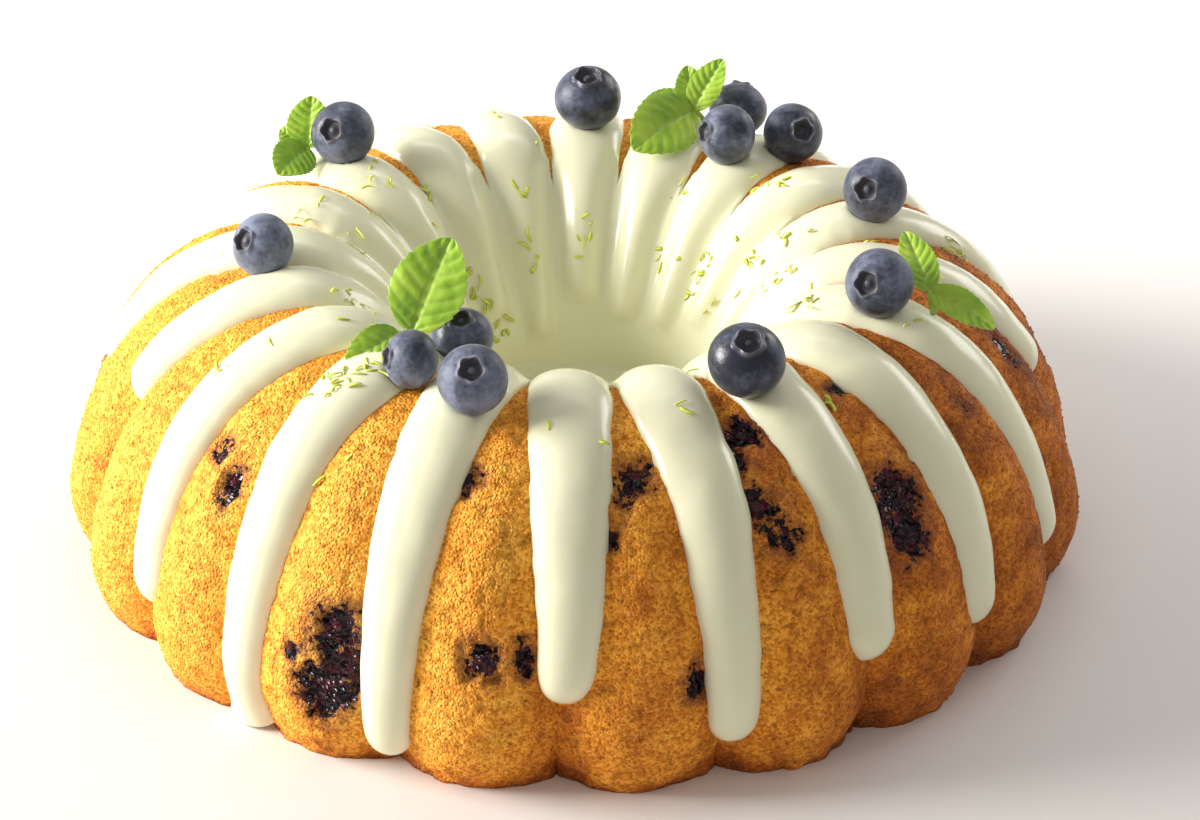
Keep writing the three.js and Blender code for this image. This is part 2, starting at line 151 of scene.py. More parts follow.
# Zest: azimuth, radius, how far it scatters and how many shreds, and how many lie singly
LOOSE_SHREDS = 36
LOOSE_LENGTHS = (0.9, 3.4)
SHRED_LENGTHS = (1.4, 4.2)
SHRED_WIDTHS = (0.3, 0.7)
ZEST_CLUMPS = [
    (-128.5, 82, 3.6, 8), (-129.5, 86, 4.2, 7), (-126.5, 76, 3.0, 8), (131, 41, 3.2, 12),
    (126, 38, 2.6, 7), (-157.4, 59.5, 3.4, 8), (-147, 95.4, 2.2, 3), (-122, 99, 3.0, 3),
    (-94, 84, 1.6, 1), (-86, 87, 1.2, 1), (-72.5, 78.6, 1.6, 2), (-48, 86, 2.0, 3),
    (107, 76, 1.6, 3), (107, 51, 3.0, 5), (109, 43, 2.4, 5), (90, 46, 2.4, 4),
    (86.8, 43.6, 0.8, 1), (62.5, 44, 2.0, 3), (45, 44, 3.6, 10), (31.6, 41, 1.6, 2),
    (26, 50, 2.6, 5), (10.5, 48, 2.6, 5), (9.7, 52, 2.4, 3), (-1.9, 55, 2.6, 3),
    (17, 56.6, 3.4, 5), (62, 54, 2.6, 4), (44, 61, 3.0, 4), (35.6, 64.4, 3.4, 5),
    (-23, 62, 4.0, 9), (13.3, 98, 4.6, 18), (7.8, 69, 3.0, 4), (-24, 84, 3.0, 3),
    (134, 57, 3.6, 4), (146, 60.5, 3.4, 4), (166, 68, 3.6, 5), (167.6, 56, 3.0, 4),
    (60, 90, 8.0, 3), (120, 92, 9.0, 6), (-80, 31, 2.0, 2),
]


# Repeatable noise


def lattice(cells, seed):
    """A repeatable number from 0 to 1 for each whole-number place."""
    keys = (np.uint32(73856093), np.uint32(19349663), np.uint32(83492791))
    mixed = np.full(cells.shape[:-1], np.uint32(seed * 2654435 + 97), np.uint32)
    for axis, key in enumerate(keys):
        mixed ^= cells[..., axis].astype(np.int64).astype(np.uint32) * key
        mixed ^= mixed >> np.uint32(13)
        mixed *= np.uint32(1274126177)
        mixed ^= mixed >> np.uint32(16)
    return mixed.astype(np.float64) / 4294967295.0


def noise(points, size, seed=0):
    """Smooth noise from -1 to 1 with features of about the given size."""
    places = np.asarray(points, float) / size
    base = np.floor(places)
    part = places - base
    part = part * part * (3 - 2 * part)
    total = np.zeros(places.shape[:-1])
    for corner in np.ndindex(2, 2, 2):
        weight = np.ones(places.shape[:-1])
        for axis in range(3):
            share = part[..., axis]
            weight = weight * (share if corner[axis] else 1 - share)
        total += weight * lattice(base + corner, seed)
    return 2 * total - 1


def wander(along, seed):
    """Smooth noise over one number."""
    along = np.asarray(along, float)
    places = np.stack([along, np.full_like(along, seed * 7.31), np.full_like(along, 0.5)], axis=-1)
    return noise(places, 1.0, seed)


def smooth_step(low, high, value):
    share = np.clip((value - low) / (high - low), 0, 1)
    return share * share * (3 - 2 * share)


def smooth_max(a, b, blend):
    """The larger of two heights, with a fillet where they cross."""
    overlap = np.clip(blend - np.abs(a - b), 0, None) / blend
    return np.maximum(a, b) + overlap * overlap * blend / 4


# The ring's surface


def at_station(setting, station):
    return np.interp(station, SETTING_STATIONS, setting)


def section(station):
    """The smooth section of the ring as radius and height."""
    angle = np.clip(station, 0, 2) * PI / 2
    rise = np.clip(np.sin(angle), 0, None)
    run = np.cos(angle)
    wall_height = CREST_HEIGHT * rise ** (2 / WALL_ROUNDNESS)
    spread = np.clip(run, 0, None) ** (2 / WALL_ROUNDNESS)
    tuck = FOOT_TUCK * np.clip(1 - wall_height / FOOT_HEIGHT, 0, None) ** 2
    wall_radius = CREST_RADIUS + (WALL_RADIUS - CREST_RADIUS) * spread - tuck
    inner_radius = CREST_RADIUS + (CREST_RADIUS - HOLE_RADIUS) * run
    inner_height = HOLE_HEIGHT + (CREST_HEIGHT - HOLE_HEIGHT) * rise
    inside = station > 1
    return np.where(inside, inner_radius, wall_radius), np.where(inside, inner_height, wall_height)


def section_normal(station):
    step = 0.01
    far_radius, far_height = section(np.minimum(station + step, 2))
    near_radius, near_height = section(np.maximum(station - step, 0))
    out = far_height - near_height
    up = near_radius - far_radius
    length = np.hypot(out, up)
    return out / length, up / length


def ring_point(azimuth, station, lift):
    """Points over the smooth ring, lifted off it along its normal."""
    azimuth, station, lift = np.broadcast_arrays(azimuth, station, lift)
    radius, height = section(station)
    out, up = section_normal(station)
    radius = radius + out * lift
    height = np.clip(height + up * lift, 0, None)
    return np.stack([radius * np.cos(azimuth), radius * np.sin(azimuth), height], axis=-1)


def flute_lift(azimuth, station):
    """How far the fluted crust lies below the smooth ring."""
    fullness = np.abs(np.sin(LOBES / 2 * (azimuth - FIRST_VALLEY))) ** LOBE_ROUNDNESS
    wave = 0.6 * np.sin(2 * azimuth + 0.7) + 0.4 * np.sin(6 * azimuth + 2)
    unevenness = LOBE_VARIATION * 0.5 * (1 - wave) * np.clip(1 - station, 0, None)
    return -at_station(FLUTE_DEPTH, station) * (1 - fullness) - unevenness


def station_at_height(height):
    return math.asin((height / CREST_HEIGHT) ** (WALL_ROUNDNESS / 2)) / (PI / 2)


def station_at_radius(radius):
    if radius < CREST_RADIUS:
        return 1 + math.asin((CREST_RADIUS - radius) / (CREST_RADIUS - HOLE_RADIUS)) / (PI / 2)
    spread = (radius - CREST_RADIUS) / (WALL_RADIUS - CREST_RADIUS)
    return math.acos(spread ** (WALL_ROUNDNESS / 2)) / (PI / 2)


def arc_length(station):
    """Millimetres along the section from its foot."""
    fine = np.linspace(0, 2, 2001)
    radius, height = section(fine)
    run = np.concatenate([[0], np.cumsum(np.hypot(np.diff(radius), np.diff(height)))])
    return np.interp(station, fine, run)


def even_stations(first, last, count):
    fine = np.linspace(first, last, 1001)
    run = arc_length(fine)
    return np.interp(np.linspace(run[0], run[-1], count), run, fine)


def bead_half_width(valley, station):
    return at_station(BEAD_HALF_WIDTH, station) * (1 - BEAD_NARROWING * math.sin(valley))


def resting_lift(azimuth, station):
    """How high crust or icing stands over the smooth ring, for something to rest on."""
    valley = FIRST_VALLEY + round((azimuth - FIRST_VALLEY) / PITCH) * PITCH
    aside = abs(azimuth - valley) * float(section(station)[0])
    share = aside / float(bead_half_width(valley, station))
    crust = float(flute_lift(azimuth, station)) + 0.3
    if share >= 1:
        return crust
    height = float(at_station(BEAD_HEIGHT, station))
    dome = height * (BEAD_EDGE + (1 - BEAD_EDGE) * math.sqrt(1 - share**2.5))
    return max(crust, dome - float(at_station(FLUTE_DEPTH, station)) - BERRY_SINK)


def direction(heading, elevation):
    turn, rise = math.radians(heading), math.radians(elevation)
    return np.array([math.cos(rise) * math.cos(turn), math.cos(rise) * math.sin(turn), math.sin(rise)])


def unit(vector):
    return vector / np.linalg.norm(vector)


# Meshes


class Shape:
    """Points in millimetres, faces and one number per point for each named shade."""

    def __init__(self):
        self.points = []
        self.faces = []
        self.shades = {}
        self.count = 0

    def add(self, points, **shades):
        """Adds points and returns the number of the first."""
        points = np.asarray(points, float).reshape(-1, 3)
        start = self.count
        self.points.append(points)
        self.count += len(points)
        for name, values in shades.items():
            self.shades.setdefault(name, []).append(np.asarray(values, float).reshape(-1))
        return start

    def add_row(self, points, **shades):
        start = self.add(points, **shades)
        return list(range(start, self.count))

    def add_grid(self, points, **shades):
        """Adds rows of points and returns their numbers in the same rows."""
        rows, columns = points.shape[:2]
        return self.add(points, **shades) + np.arange(rows * columns).reshape(rows, columns)

    def join(self, rows, closed=True):
        """Four-sided faces between each row of point numbers and the next."""
        for first, second in zip(rows[:-1], rows[1:]):
            self.faces += strip(first, second, closed)

    def tube(self, rows):
        """Faces round a closed tube with a flat face at both ends."""
        self.join(rows)
        self.faces += [tuple(rows[0]), tuple(rows[-1])]

    def build(self, name, node_names, material):
        """Makes the object, closes up its normals and ties it to the frame."""
        mesh = bpy.data.meshes.new(name)
        mesh.from_pydata((np.concatenate(self.points) * MM).tolist(), [], self.faces)
        for shade, values in self.shades.items():
            layer = mesh.attributes.new(shade, "FLOAT", "POINT")
            layer.data.foreach_set("value", np.concatenate(values).astype(np.float32))
        work = bmesh.new()
        work.from_mesh(mesh)
        bmesh.ops.recalc_face_normals(work, faces=work.faces)
        work.to_mesh(mesh)
        work.free()
        mesh.polygons.foreach_set("use_smooth", [True] * len(mesh.polygons))
        mesh.materials.append(material)
        piece = bpy.data.objects.new(name, mesh)
        bpy.context.scene.collection.objects.link(piece)
        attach(piece, "root")
        if node_names:
            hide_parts(*node_names)
        return piece


def strip(first, second, closed):
    """Four-sided faces between two rows of point numbers."""
    count = len(first)
    faces = []
    for i in range(count if closed else count - 1):
        j = (i + 1) % count
        faces.append((first[i], first[j], second[j], second[i]))
    return faces


def fan(row, tip):
    return [(row[i], row[(i + 1) % len(row)], tip) for i in range(len(row))]


# Toppings press small hollows into what is under them


def berry_centre(azimuth, radius, diameter):
    station = station_at_radius(radius)
    turn = math.radians(azimuth)
    lift = resting_lift(turn, station) + diameter / 2 * BERRY_FLATTENING
    return ring_point(turn, station, lift)


def press_berries(points, gap):
    """Moves points out of every berry, so that icing and crust hold them without touching."""
    points = points.copy()
    for azimuth, radius, diameter, crown in BERRIES.values():
        centre = berry_centre(azimuth, radius, diameter)
        axis = direction(*crown)
        offset = points - centre
        near = np.linalg.norm(offset, axis=-1) < diameter
        local = offset[near]
        rise = local @ axis
        stretched = local + (rise / BERRY_FLATTENING - rise)[:, None] * axis
        reach = np.linalg.norm(stretched, axis=-1)
        wanted = diameter / 2 + gap
        grow = np.where(reach < wanted, wanted / np.clip(reach, 0.5, None), 1.0)
        points[near] = centre + local * grow[:, None]
    return points


# Crust

CRUST_AROUND = 840
CRUST_ROWS = 105
GRAINS = 8500
GRAIN_TRIES = 16000
GRAIN_RADII = (0.16, 0.38)


def burst_shades(azimuth, station, points):
    """How far each place lies inside a burst berry, negative outside one, and how far it sinks."""
    burst = np.full(azimuth.shape, -2.0)
    dent = np.zeros(azimuth.shape)
    run = arc_length(station)
    radius = section(station)[0]
    ragged = 0.36 * noise(points, 4.3, 11) + 0.40 * noise(points, 2.1, 12)
    for centre, level, half_width, half_height, depth, whole in BURSTS:
        turn = (azimuth - math.radians(centre) + PI) % (2 * PI) - PI
        across = turn * radius / half_width
        along = (run - arc_length(level)) / half_height
        distance = np.hypot(across, along) + ragged
        burst = np.maximum(burst, 0.35 + 0.5 * whole - distance)
        dent = np.maximum(dent, depth * (1 - smooth_step(0.6, 1.0, distance)))
    return burst, dent


def crust_surface(turn, station):
    """Lift of the crust with its crumb, pits and burst berries, and the shades that go with them."""
    smooth = ring_point(turn, station, flute_lift(turn, station))
    burst, dent = burst_shades(turn, station, smooth)
    skin = smooth_step(-0.05, 0.12, burst)
    lumps = 0.38 * noise(smooth, 21, 1) + 0.12 * noise(smooth, 7.5, 2)
    crumb = 0.08 * noise(smooth, 3.3, 3) + 0.15 * noise(smooth, 1.9, 4)
    pits = smooth_step(0.45, 0.75, noise(smooth, 2.3, 5)) * 0.5
    pits += smooth_step(0.55, 0.85, noise(smooth, 4.6, 6)) * 0.45
    torn = smooth_step(-0.7, 0.0, burst) * (1 - skin) * np.clip(noise(smooth, 2.6, 10), 0, None)
    bubbles = skin * (0.9 * noise(smooth, 3.1, 7) + 0.4 * noise(smooth, 1.8, 13))
    settled = smooth_step(1.6, 1.4, station)
    relief = lumps + crumb - pits * (1 - skin) - dent - 1.3 * torn + bubbles
    ragged_foot = 0.9 * np.exp(-section(station)[1] / 3.0) * noise(smooth, 3.0, 14)
    lift = flute_lift(turn, station) + settled * (relief + ragged_foot)
    fullness = np.abs(np.sin(LOBES / 2 * (turn - FIRST_VALLEY)))
    foot = np.exp(-section(station)[1] / 4.0)
    # Painted shade: the browning rises towards the right of the ring, away from the key light, so that side
    # is painted darker.
    side = (0.5 + 0.5 * np.cos(turn - math.radians(-10))) ** 2.4
    beside = smooth_step(0.62, 0.40, fullness) * smooth_step(0.95, 0.6, station)
    browning = 0.22 * noise(smooth, 14, 8) + 0.14 * noise(smooth, 4, 9)
    browning = np.clip(0.03 + 0.08 * fullness + 0.32 * foot + 0.58 * side + 0.16 * beside + browning, 0, 1)
    return lift, {"burst": burst, "browning": browning, "pits": pits + 1.2 * torn}


def crust():
    """The baked cake: a fluted ring with a sandy crumb, pits and burst berries."""
    azimuth = FIRST_VALLEY + np.arange(CRUST_AROUND) * 2 * PI / CRUST_AROUND
    stations = np.concatenate([even_stations(0, 1.5, CRUST_ROWS), [1.62, 1.74, 1.87, 2]])
    turn, station = np.meshgrid(azimuth, stations)
    lift, shades = crust_surface(turn, station)
    points = ring_point(turn, station, lift)
    points = press_berries(points.reshape(-1, 3), 0.1).reshape(points.shape)

    shape = Shape()
    rows = shape.add_grid(points, **shades).tolist()
    floor = points[[-1, 0]].copy()
    floor[..., 2] = 0
    blank = np.zeros(floor.shape[:2])
    inner, outer = shape.add_grid(floor, burst=blank - 2, browning=blank + 0.8, pits=blank).tolist()
    shape.join(rows + [inner, outer, rows[0]])
    return shape.build("cake_crust", ["cake"], crust_material())


def uncovered(turn, station):
    """Which places have no icing over them."""
    bare = station < 1.1
    for index in range(LOBES):
        middle, half = bead_path(index, station)
        aside = np.abs((turn - middle + PI) % (2 * PI) - PI)
        bare &= (aside > half * 1.03) | (station < station_at_height(BEAD_TIPS[index]) - 0.01)
    return bare


def grain_form():
    """The corners and faces of one small many-sided grain."""
    work = bmesh.new()
    bmesh.ops.create_icosphere(work, subdivisions=1, radius=1.0)
    corners = np.array([corner.co[:] for corner in work.verts])
    faces = np.array([[corner.index for corner in face.verts] for face in work.faces])
    work.free()
    return corners, faces


def crumbs():
    """Loose grains of crumb that make the crust sandy."""
    rng = np.random.default_rng(3)
    turn = rng.uniform(0, 2 * PI, GRAIN_TRIES)
    fine = np.linspace(0, 2, 400)
    station = np.interp(rng.uniform(0.01, 0.53, GRAIN_TRIES) * arc_length(2.0), arc_length(fine), fine)
    bare = uncovered(turn, station)
    turn, station = turn[bare][:GRAINS], station[bare][:GRAINS]
    lift, shades = crust_surface(turn, station)
    size = rng.uniform(*GRAIN_RADII, len(turn))
    places = ring_point(turn, station, lift - 0.15 * size)
    corners, faces = grain_form()
    stretch = rng.uniform(0.65, 1.25, (len(turn), len(corners), 1))
    skew = rng.uniform(0.7, 1.2, (len(turn), 1, 3))
    points = places[:, None, :] + corners[None] * stretch * skew * size[:, None, None]
    points[..., 2] = np.clip(points[..., 2], 0, None)
    shape = Shape()
    repeated = {name: np.repeat(values, len(corners)) for name, values in shades.items()}
    shape.add(points, **repeated)
    starts = np.arange(len(turn))[:, None, None] * len(corners)
    shape.faces += (faces[None] + starts).reshape(-1, 3).tolist()
    return shape.build("crust_crumbs", [], bpy.data.materials["cake_crust"])


# Icing

BEAD_COLUMNS = 25
BEAD_ROWS = 84
GAP_COLUMNS = 8
GAP_START = 1.18
COMMON_STATIONS = np.concatenate([even_stations(GAP_START, 1.52, 34), even_stations(1.52, 1.955, 26)[1:]])


def across_shares():
    """Places across a bead from -1 to 1, closer together at its steep edges."""
    return np.sin(np.linspace(-1, 1, BEAD_COLUMNS) * PI / 2)


def bead_path(index, station):
    """Where a bead runs and how wide it is there."""
    wobble = 0.9 * wander(station * 5.0 + index * 3.7, 21) + 0.22 * wander(station * 23 + index * 9.3, 25)
    radius = section(station)[0]
    below = np.clip(1 - station, 0, None)
    drift = math.radians(BEAD_DRIFTS[index]) * below
    drift = drift + math.radians(BEAD_BOWS.get(index, 0)) * np.sin(PI * below)
    middle = FIRST_VALLEY + index * PITCH + drift + wobble / radius * smooth_step(1.5, 1.1, station)
    valley = FIRST_VALLEY + index * PITCH
    width = bead_half_width(valley, station) * (1 + 0.07 * wander(station * 4.0 + index * 5.1, 22))
    if index in SPREADING_BEADS:
        width = width * (1 + 0.4 * np.exp(-section(station)[1] / 4.5))
    width = width + 0.28 * wander(station * 27 + index * 6.1, 26) * smooth_step(1.1, 0.9, station)
    return middle, np.minimum(width / radius, 0.47 * PITCH)


def bead_dome(index, station, share, fullness):
    """Lift of a bead's upper face: square-shouldered outside and softly round in the hole."""
    soft = smooth_step(1.15, 1.6, station)
    power = 0.52 + 0.9 * soft
    depth = at_station(FLUTE_DEPTH, station)
    height = at_station(BEAD_HEIGHT, station) * (1 + 0.07 * wander(station * 4.5 + index * 2.3, 23))
    if index in SPREADING_BEADS:
        height = height + 2.4 * np.exp(-section(station)[1] / 3.5)
    coat = coat_thickness(station)
    low = -depth + BEAD_EDGE * height * (1 - soft)
    low = low * (1 - soft) + (coat - 1.6) * soft
    top = (height - depth) * (1 - soft) + (coat + 2.9) * soft
    top = coat - 1.5 + (top - coat + 1.5) * rib_end(index, station)
    profile = np.clip(1 - np.abs(share) ** 2.1, 0, None) ** power
    lift = low + (top - low) * profile
    return -depth + (lift + depth) * fullness


def rib_end(index, station):
    """Rounds off the end of each rib some way down the hole."""
    last = arc_length(1.80 + 0.055 * math.sin(index * 2.4) + 0.02 * math.sin(index * 5.3))
    left = np.clip((last - arc_length(station)) / 6.0, 0, 1)
    return np.sqrt(np.clip(1 - (1 - left) ** 2, 0, None))


def coat_thickness(station):
    return COAT_THICKNESS[0] + (COAT_THICKNESS[1] - COAT_THICKNESS[0]) * smooth_step(1.55, 1.96, station)


def coat_lift(azimuth, station, gap_share):
    """Lift of the coat between beads: it starts inside the crest in a scalloped, rounded lip."""
    reach = 0.11 * gap_share**2 - 0.02 + 0.05 * wander(azimuth * 9.0, 24)
    lip = COAT_LIP - reach
    rise = np.clip((station - lip) / 0.085, 0, 1)
    front = np.sqrt(np.clip(1 - (1 - rise) ** 2, 0, None))
    hidden = -4.0
    return hidden + (coat_thickness(station) - hidden) * front


def bead_outside(index):
    """Rows of a bead from its tip up the wall and over the crest, each with a sunk edge on both sides."""
    tip = station_at_height(BEAD_TIPS[index])
    share = (1 - np.cos(PI * np.linspace(0.02, 0.72, BEAD_ROWS + 1)[:-1])) / 2
    share = (share - share[0]) / (1 - math.cos(PI * 0.72)) * 2
    station = tip + (GAP_START - tip) * share
    middle, half = bead_path(index, station)
    to_tip = arc_length(station) - arc_length(tip) + 0.25
    thick, wide = (np.sqrt(1 - (1 - np.clip(to_tip / reach, 0, 1)) ** 2) for reach in BEAD_TIP_LENGTH)
    if index in SPREADING_BEADS:
        thick = wide = np.ones_like(thick)
    across = across_shares()
    turn = middle[:, None] + (half * wide)[:, None] * across
    lift = bead_dome(index, station[:, None], across, thick[:, None])
    sunk = -at_station(FLUTE_DEPTH, station) - BEAD_SINK * thick
    edges = [middle - half * wide * 0.98, middle + half * wide * 0.98]
    turn = np.concatenate([edges[0][:, None], turn, edges[1][:, None]], axis=1)
    lift = np.concatenate([sunk[:, None], lift, sunk[:, None]], axis=1)
    return ring_point(turn, station[:, None], lift)


def icing_inside():
    """Rows that run all round, over the beads and the coat between them."""
    station = COMMON_STATIONS
    across = across_shares()
    turns, lifts = [], []
    paths = [bead_path(index, station) for index in range(LOBES)]
    for index in range(LOBES):
        middle, half = paths[index]
        turn = middle[:, None] + half[:, None] * across
        left = middle[:, None] - half[:, None] * 1.005
        right = middle[:, None] + half[:, None] * 1.005
        turn = np.concatenate([left, turn, right], axis=1)
        coat = coat_lift(turn, station[:, None], 1.0)
        dome = bead_dome(index, station[:, None], across, 1.0)
        sunk = np.full((len(station), 1), -8.0)
        dome = np.concatenate([sunk, dome, sunk], axis=1)
        turns.append(turn)
        lifts.append(smooth_max(dome, coat, 1.6))
        after, after_half = paths[(index + 1) % LOBES]
        following = after + (2 * PI if index == LOBES - 1 else 0) - after_half * 1.005
        share = np.linspace(0, 1, GAP_COLUMNS + 2)[1:-1]
        turn = right + (following[:, None] - right) * share
        turns.append(turn)
        lifts.append(smooth_max(coat_lift(turn, station[:, None], 2 * share - 1), -8.0, 1.6))
    turn = np.concatenate(turns, axis=1)
    lift = np.concatenate(lifts, axis=1)
    return turn, ring_point(turn, station[:, None], lift)


def soften_icing(points):
    """Slow swells over the icing, so that no two beads are alike."""
    swell = 0.30 * noise(points, 13, 31) + 0.12 * noise(points, 5, 32)
    radius = np.hypot(points[..., 0], points[..., 1])
    away = np.stack([points[..., 0] / radius, points[..., 1] / radius, np.full(radius.shape, 0.9)], axis=-1)
    moved = points + away * swell[..., None] * 0.8
    moved[..., 2] = np.clip(moved[..., 2], 0, None)
    return press_berries(moved.reshape(-1, 3), 0.1).reshape(points.shape)


def icing():
    """One closed skin: twenty beads, the coat in the hole and the pool at its bottom."""
    shape = Shape()
    turn, inside = icing_inside()
    inside = soften_icing(inside)
    grid = shape.add_grid(inside)
    shape.join(grid.tolist())
    rim = []
    per_bead = BEAD_COLUMNS + 2 + GAP_COLUMNS
    for index in range(LOBES):
        first = index * per_bead
        seam = grid[0, first : first + BEAD_COLUMNS + 2].tolist()
        outside = soften_icing(bead_outside(index))
        lines = shape.add_grid(outside).tolist() + [seam]
        for lower, upper in zip(lines[:-1], lines[1:]):
            shape.faces += strip(lower, upper, False)
            shape.faces.append((lower[0], upper[0], upper[-1], lower[-1]))
        shape.faces.append(tuple(lines[0]))
        rim += [seam[0], seam[-1]] + grid[0, first + BEAD_COLUMNS + 2 : first + per_bead].tolist()
    add_pool(shape, grid[-1].tolist(), turn[-1], inside[-1])
    add_hidden_floor(shape, rim)
    return shape.build("icing_coat", ["icing"], icing_material())


def add_pool(shape, wall_row, turn, wall):
    """The pool at the bottom of the hole, with a soft edge where it meets the wall."""
    wall_radius = np.hypot(wall[:, 0], wall[:, 1])
    rows = [wall_row]
    for inset, rise in POOL_STEPS:
        radius = wall_radius - inset - (wall_radius - 31) * min(1, inset / 15)
        height = POOL_HEIGHT + rise + (wall[:, 2] - POOL_HEIGHT) * max(0, 0.4 - inset / 7)
        ripple = 0.12 * noise(np.stack([radius * np.cos(turn), radius * np.sin(turn), turn * 0], -1), 9, 33)
        points = np.stack([radius * np.cos(turn), radius * np.sin(turn), height + ripple], -1)
        rows.append(shape.add_row(points))
    shape.join(rows)
    shape.faces += fan(rows[-1], shape.add([[0, 0, POOL_HEIGHT]]))


def add_hidden_floor(shape, rim):
    """Closes the icing underneath, inside the cake and on the table."""
    everything = np.concatenate(shape.points)
    turn = np.arctan2(everything[rim, 1], everything[rim, 0])
    inner = HOLE_RADIUS + 4
    rows = [rim]
    for station, lift in ((1.5, -5.0), (2.0, -4.0)):
        rows.append(shape.add_row(ring_point(turn, station, lift)))
    flat = np.stack([inner * np.cos(turn), inner * np.sin(turn), turn * 0], -1)
    rows.append(shape.add_row(flat))
    shape.join(rows)
    shape.faces += fan(rows[-1], shape.add([[0, 0, 0]]))


# Blueberries

BERRY_AROUND = 80
# Heights of the crown's middle and of the foot, as shares of the flattened radius
CALYX_MIDDLE = 0.909
BERRY_FOOT = -0.999
# The crown from its middle outward: width and lift over the round berry, as shares of its radius
CALYX_ROWS = (
    (0.03, -0.092), (0.07, -0.098), (0.10, -0.125), (0.13, -0.162), (0.20, -0.174), (0.26, -0.170),
    (0.295, -0.140), (0.315, -0.06), (0.335, 0.03), (0.352, 0.070), (0.37, 0.073), (0.392, 0.046),
    (0.415, 0.012), (0.45, -0.004),
)


def berry(name, index):
    """A blueberry with the star-shaped rim and sunk floor of its crown."""
    azimuth, radius, diameter, crown = BERRIES[name]
    centre = berry_centre(azimuth, radius, diameter)
    axis = direction(*crown)
    side = unit(np.cross(axis, [0.3, 0.2, 0.93]))
    other = np.cross(axis, side)
    turn = np.arange(BERRY_AROUND) * 2 * PI / BERRY_AROUND
    star = np.cos(5 * turn + index) + 0.25 * np.cos(3 * turn + 2 * index)
    rows = []
    for width, lift in CALYX_ROWS:
        rim = max(0.0, 1 - abs(width - 0.375) / 0.09)
        wide = width * (1 + 0.11 * rim * star)
        body = np.sqrt(1 - wide**2)
        boss = 1 - smooth_step(0.09, 0.14, width)
        sunk = 1 - smooth_step(0.32, 0.36, width) - 0.4 * boss
        rows.append((wide, body + lift + 0.04 * rim * star, sunk, rim))
    for angle in np.linspace(math.asin(0.48), PI * 0.985, 36):
        plain = np.full(BERRY_AROUND, math.sin(angle))
        rows.append((plain, np.full(BERRY_AROUND, math.cos(angle)), 0.0, 0.0))
    shape = Shape()
    bloom = BLOOMS.get(name, 0.5)
    lines = []
    for wide, height, sunk, rim in rows:
        flat = (np.outer(np.cos(turn), side) + np.outer(np.sin(turn), other)) * wide[:, None]
        points = flat + np.outer(height * BERRY_FLATTENING, axis)
        swell = 1 + 0.018 * noise(points * 10 + index * 40, 9, 41)
        points = centre + points * swell[:, None] * diameter / 2
        marks = {"sunk": sunk, "rim": rim, "bloom": bloom}
        shades = {mark: np.full(BERRY_AROUND, value) for mark, value in marks.items()}
        lines.append(shape.add_row(points, **shades))
    shape.join(lines)
    for row, along, sunk in ((lines[0], CALYX_MIDDLE, 1.0), (lines[-1], BERRY_FOOT, 0.0)):
        tip = centre + axis * (along * BERRY_FLATTENING * diameter / 2)
        shape.faces += fan(row, shape.add([tip], sunk=[sunk], rim=[0.0], bloom=[bloom]))
    return shape.build(name + "_fine", [name], berry_material())


# Mint

LEAF_ROWS = 66
LEAF_COLUMNS = 33
STALK_LENGTH = 4.2
STALK_SIDES = 10


def turned(vector, axis, angle):
    """A vector turned about an axis."""
    return np.array(Matrix.Rotation(angle, 3, Vector(axis)) @ Vector(vector))


def add_leaf(shape, stem, leaf, seed):
    """One leaf: folded at its midrib, puffed between its veins, with a toothed edge."""
    heading, pitch, roll, length, width, bend = leaf
    across = np.sin(np.linspace(-1, 1, LEAF_COLUMNS) * PI / 2 * 0.92) / math.sin(PI / 2 * 0.92)
    top, under, veins = [], [], []
    for v in np.linspace(0.0, 1.0, LEAF_ROWS):
        middle = stem.copy()
        for i in range(12):
            middle = middle + direction(heading, pitch - bend * v * (i + 0.5) / 12) * length * v / 12
        axis = direction(heading, pitch - bend * v)
        side = turned(direction(heading - 90, 0), axis, math.radians(-roll))
        up = turned(direction(heading, pitch - bend * v + 90), axis, math.radians(-roll))
        outline = max(0.0, math.sin(PI * min(1.0, v**LEAF_OUTLINE))) ** LEAF_ROUNDNESS
        stalk = 0.55 * (1 - v)
        half = stalk + (width / 2) * outline
        tooth = (v * 11 + 0.15) % 1.0
        teeth = 0.075 * width / 2 * (tooth - 0.5) * smooth_step(0.08, 0.2, v) * smooth_step(1.0, 0.85, v)
        aside = across * half + np.sign(across) * np.abs(across) ** 6 * teeth
        vein = v * 7.2 - np.abs(across) ** 1.25 * (1.15 + 0.3 * outline) + 0.12 * seed
        puff = np.abs(np.sin(PI * vein)) ** 0.6
        midrib = np.exp(-((aside / 0.42) ** 2))
        inner = np.clip(1 - np.abs(across) ** 5, 0, 1) * min(1, half / 2.0)
        rough = np.stack([aside, np.full_like(aside, v * length), np.full_like(aside, seed * 9.0)], -1)
        relief = 0.36 * (puff - 0.5) * inner - 0.28 * midrib * inner + 0.10 * noise(rough, 1.1, 51) * inner
        curl = 0.5 * noise(rough, 5.5, 52) * np.abs(across)
        rise = LEAF_FOLD * np.abs(aside) - 0.03 * aside**2 * 0.5 + relief + curl
        spine = middle + np.outer(aside, side)
        thickness = LEAF_THICKNESS * (0.6 + 0.4 * (1 - np.abs(across)))
        top.append(spine + np.outer(rise + thickness / 2, up))
        under.append(spine + np.outer(rise - thickness / 2, up))
        veins.append(np.maximum((1 - puff) ** 1.5 * 0.8, midrib))
    veins = np.array(veins)
    edges = []
    for side_points, gap, underside in ((top, 0.35, 0.0), (under, 0.15, 1.0)):
        placed = press_berries(np.array(side_points).reshape(-1, 3), gap).reshape(LEAF_ROWS, LEAF_COLUMNS, 3)
        grid = shape.add_grid(placed, vein=veins, underside=np.full_like(veins, underside))
        shape.join(grid.tolist(), closed=False)
        around = [grid[0], grid[1:, -1], grid[-1, -2::-1], grid[-2:0:-1, 0]]
        edges.append(np.concatenate(around).tolist())
    shape.faces += strip(*edges, True)


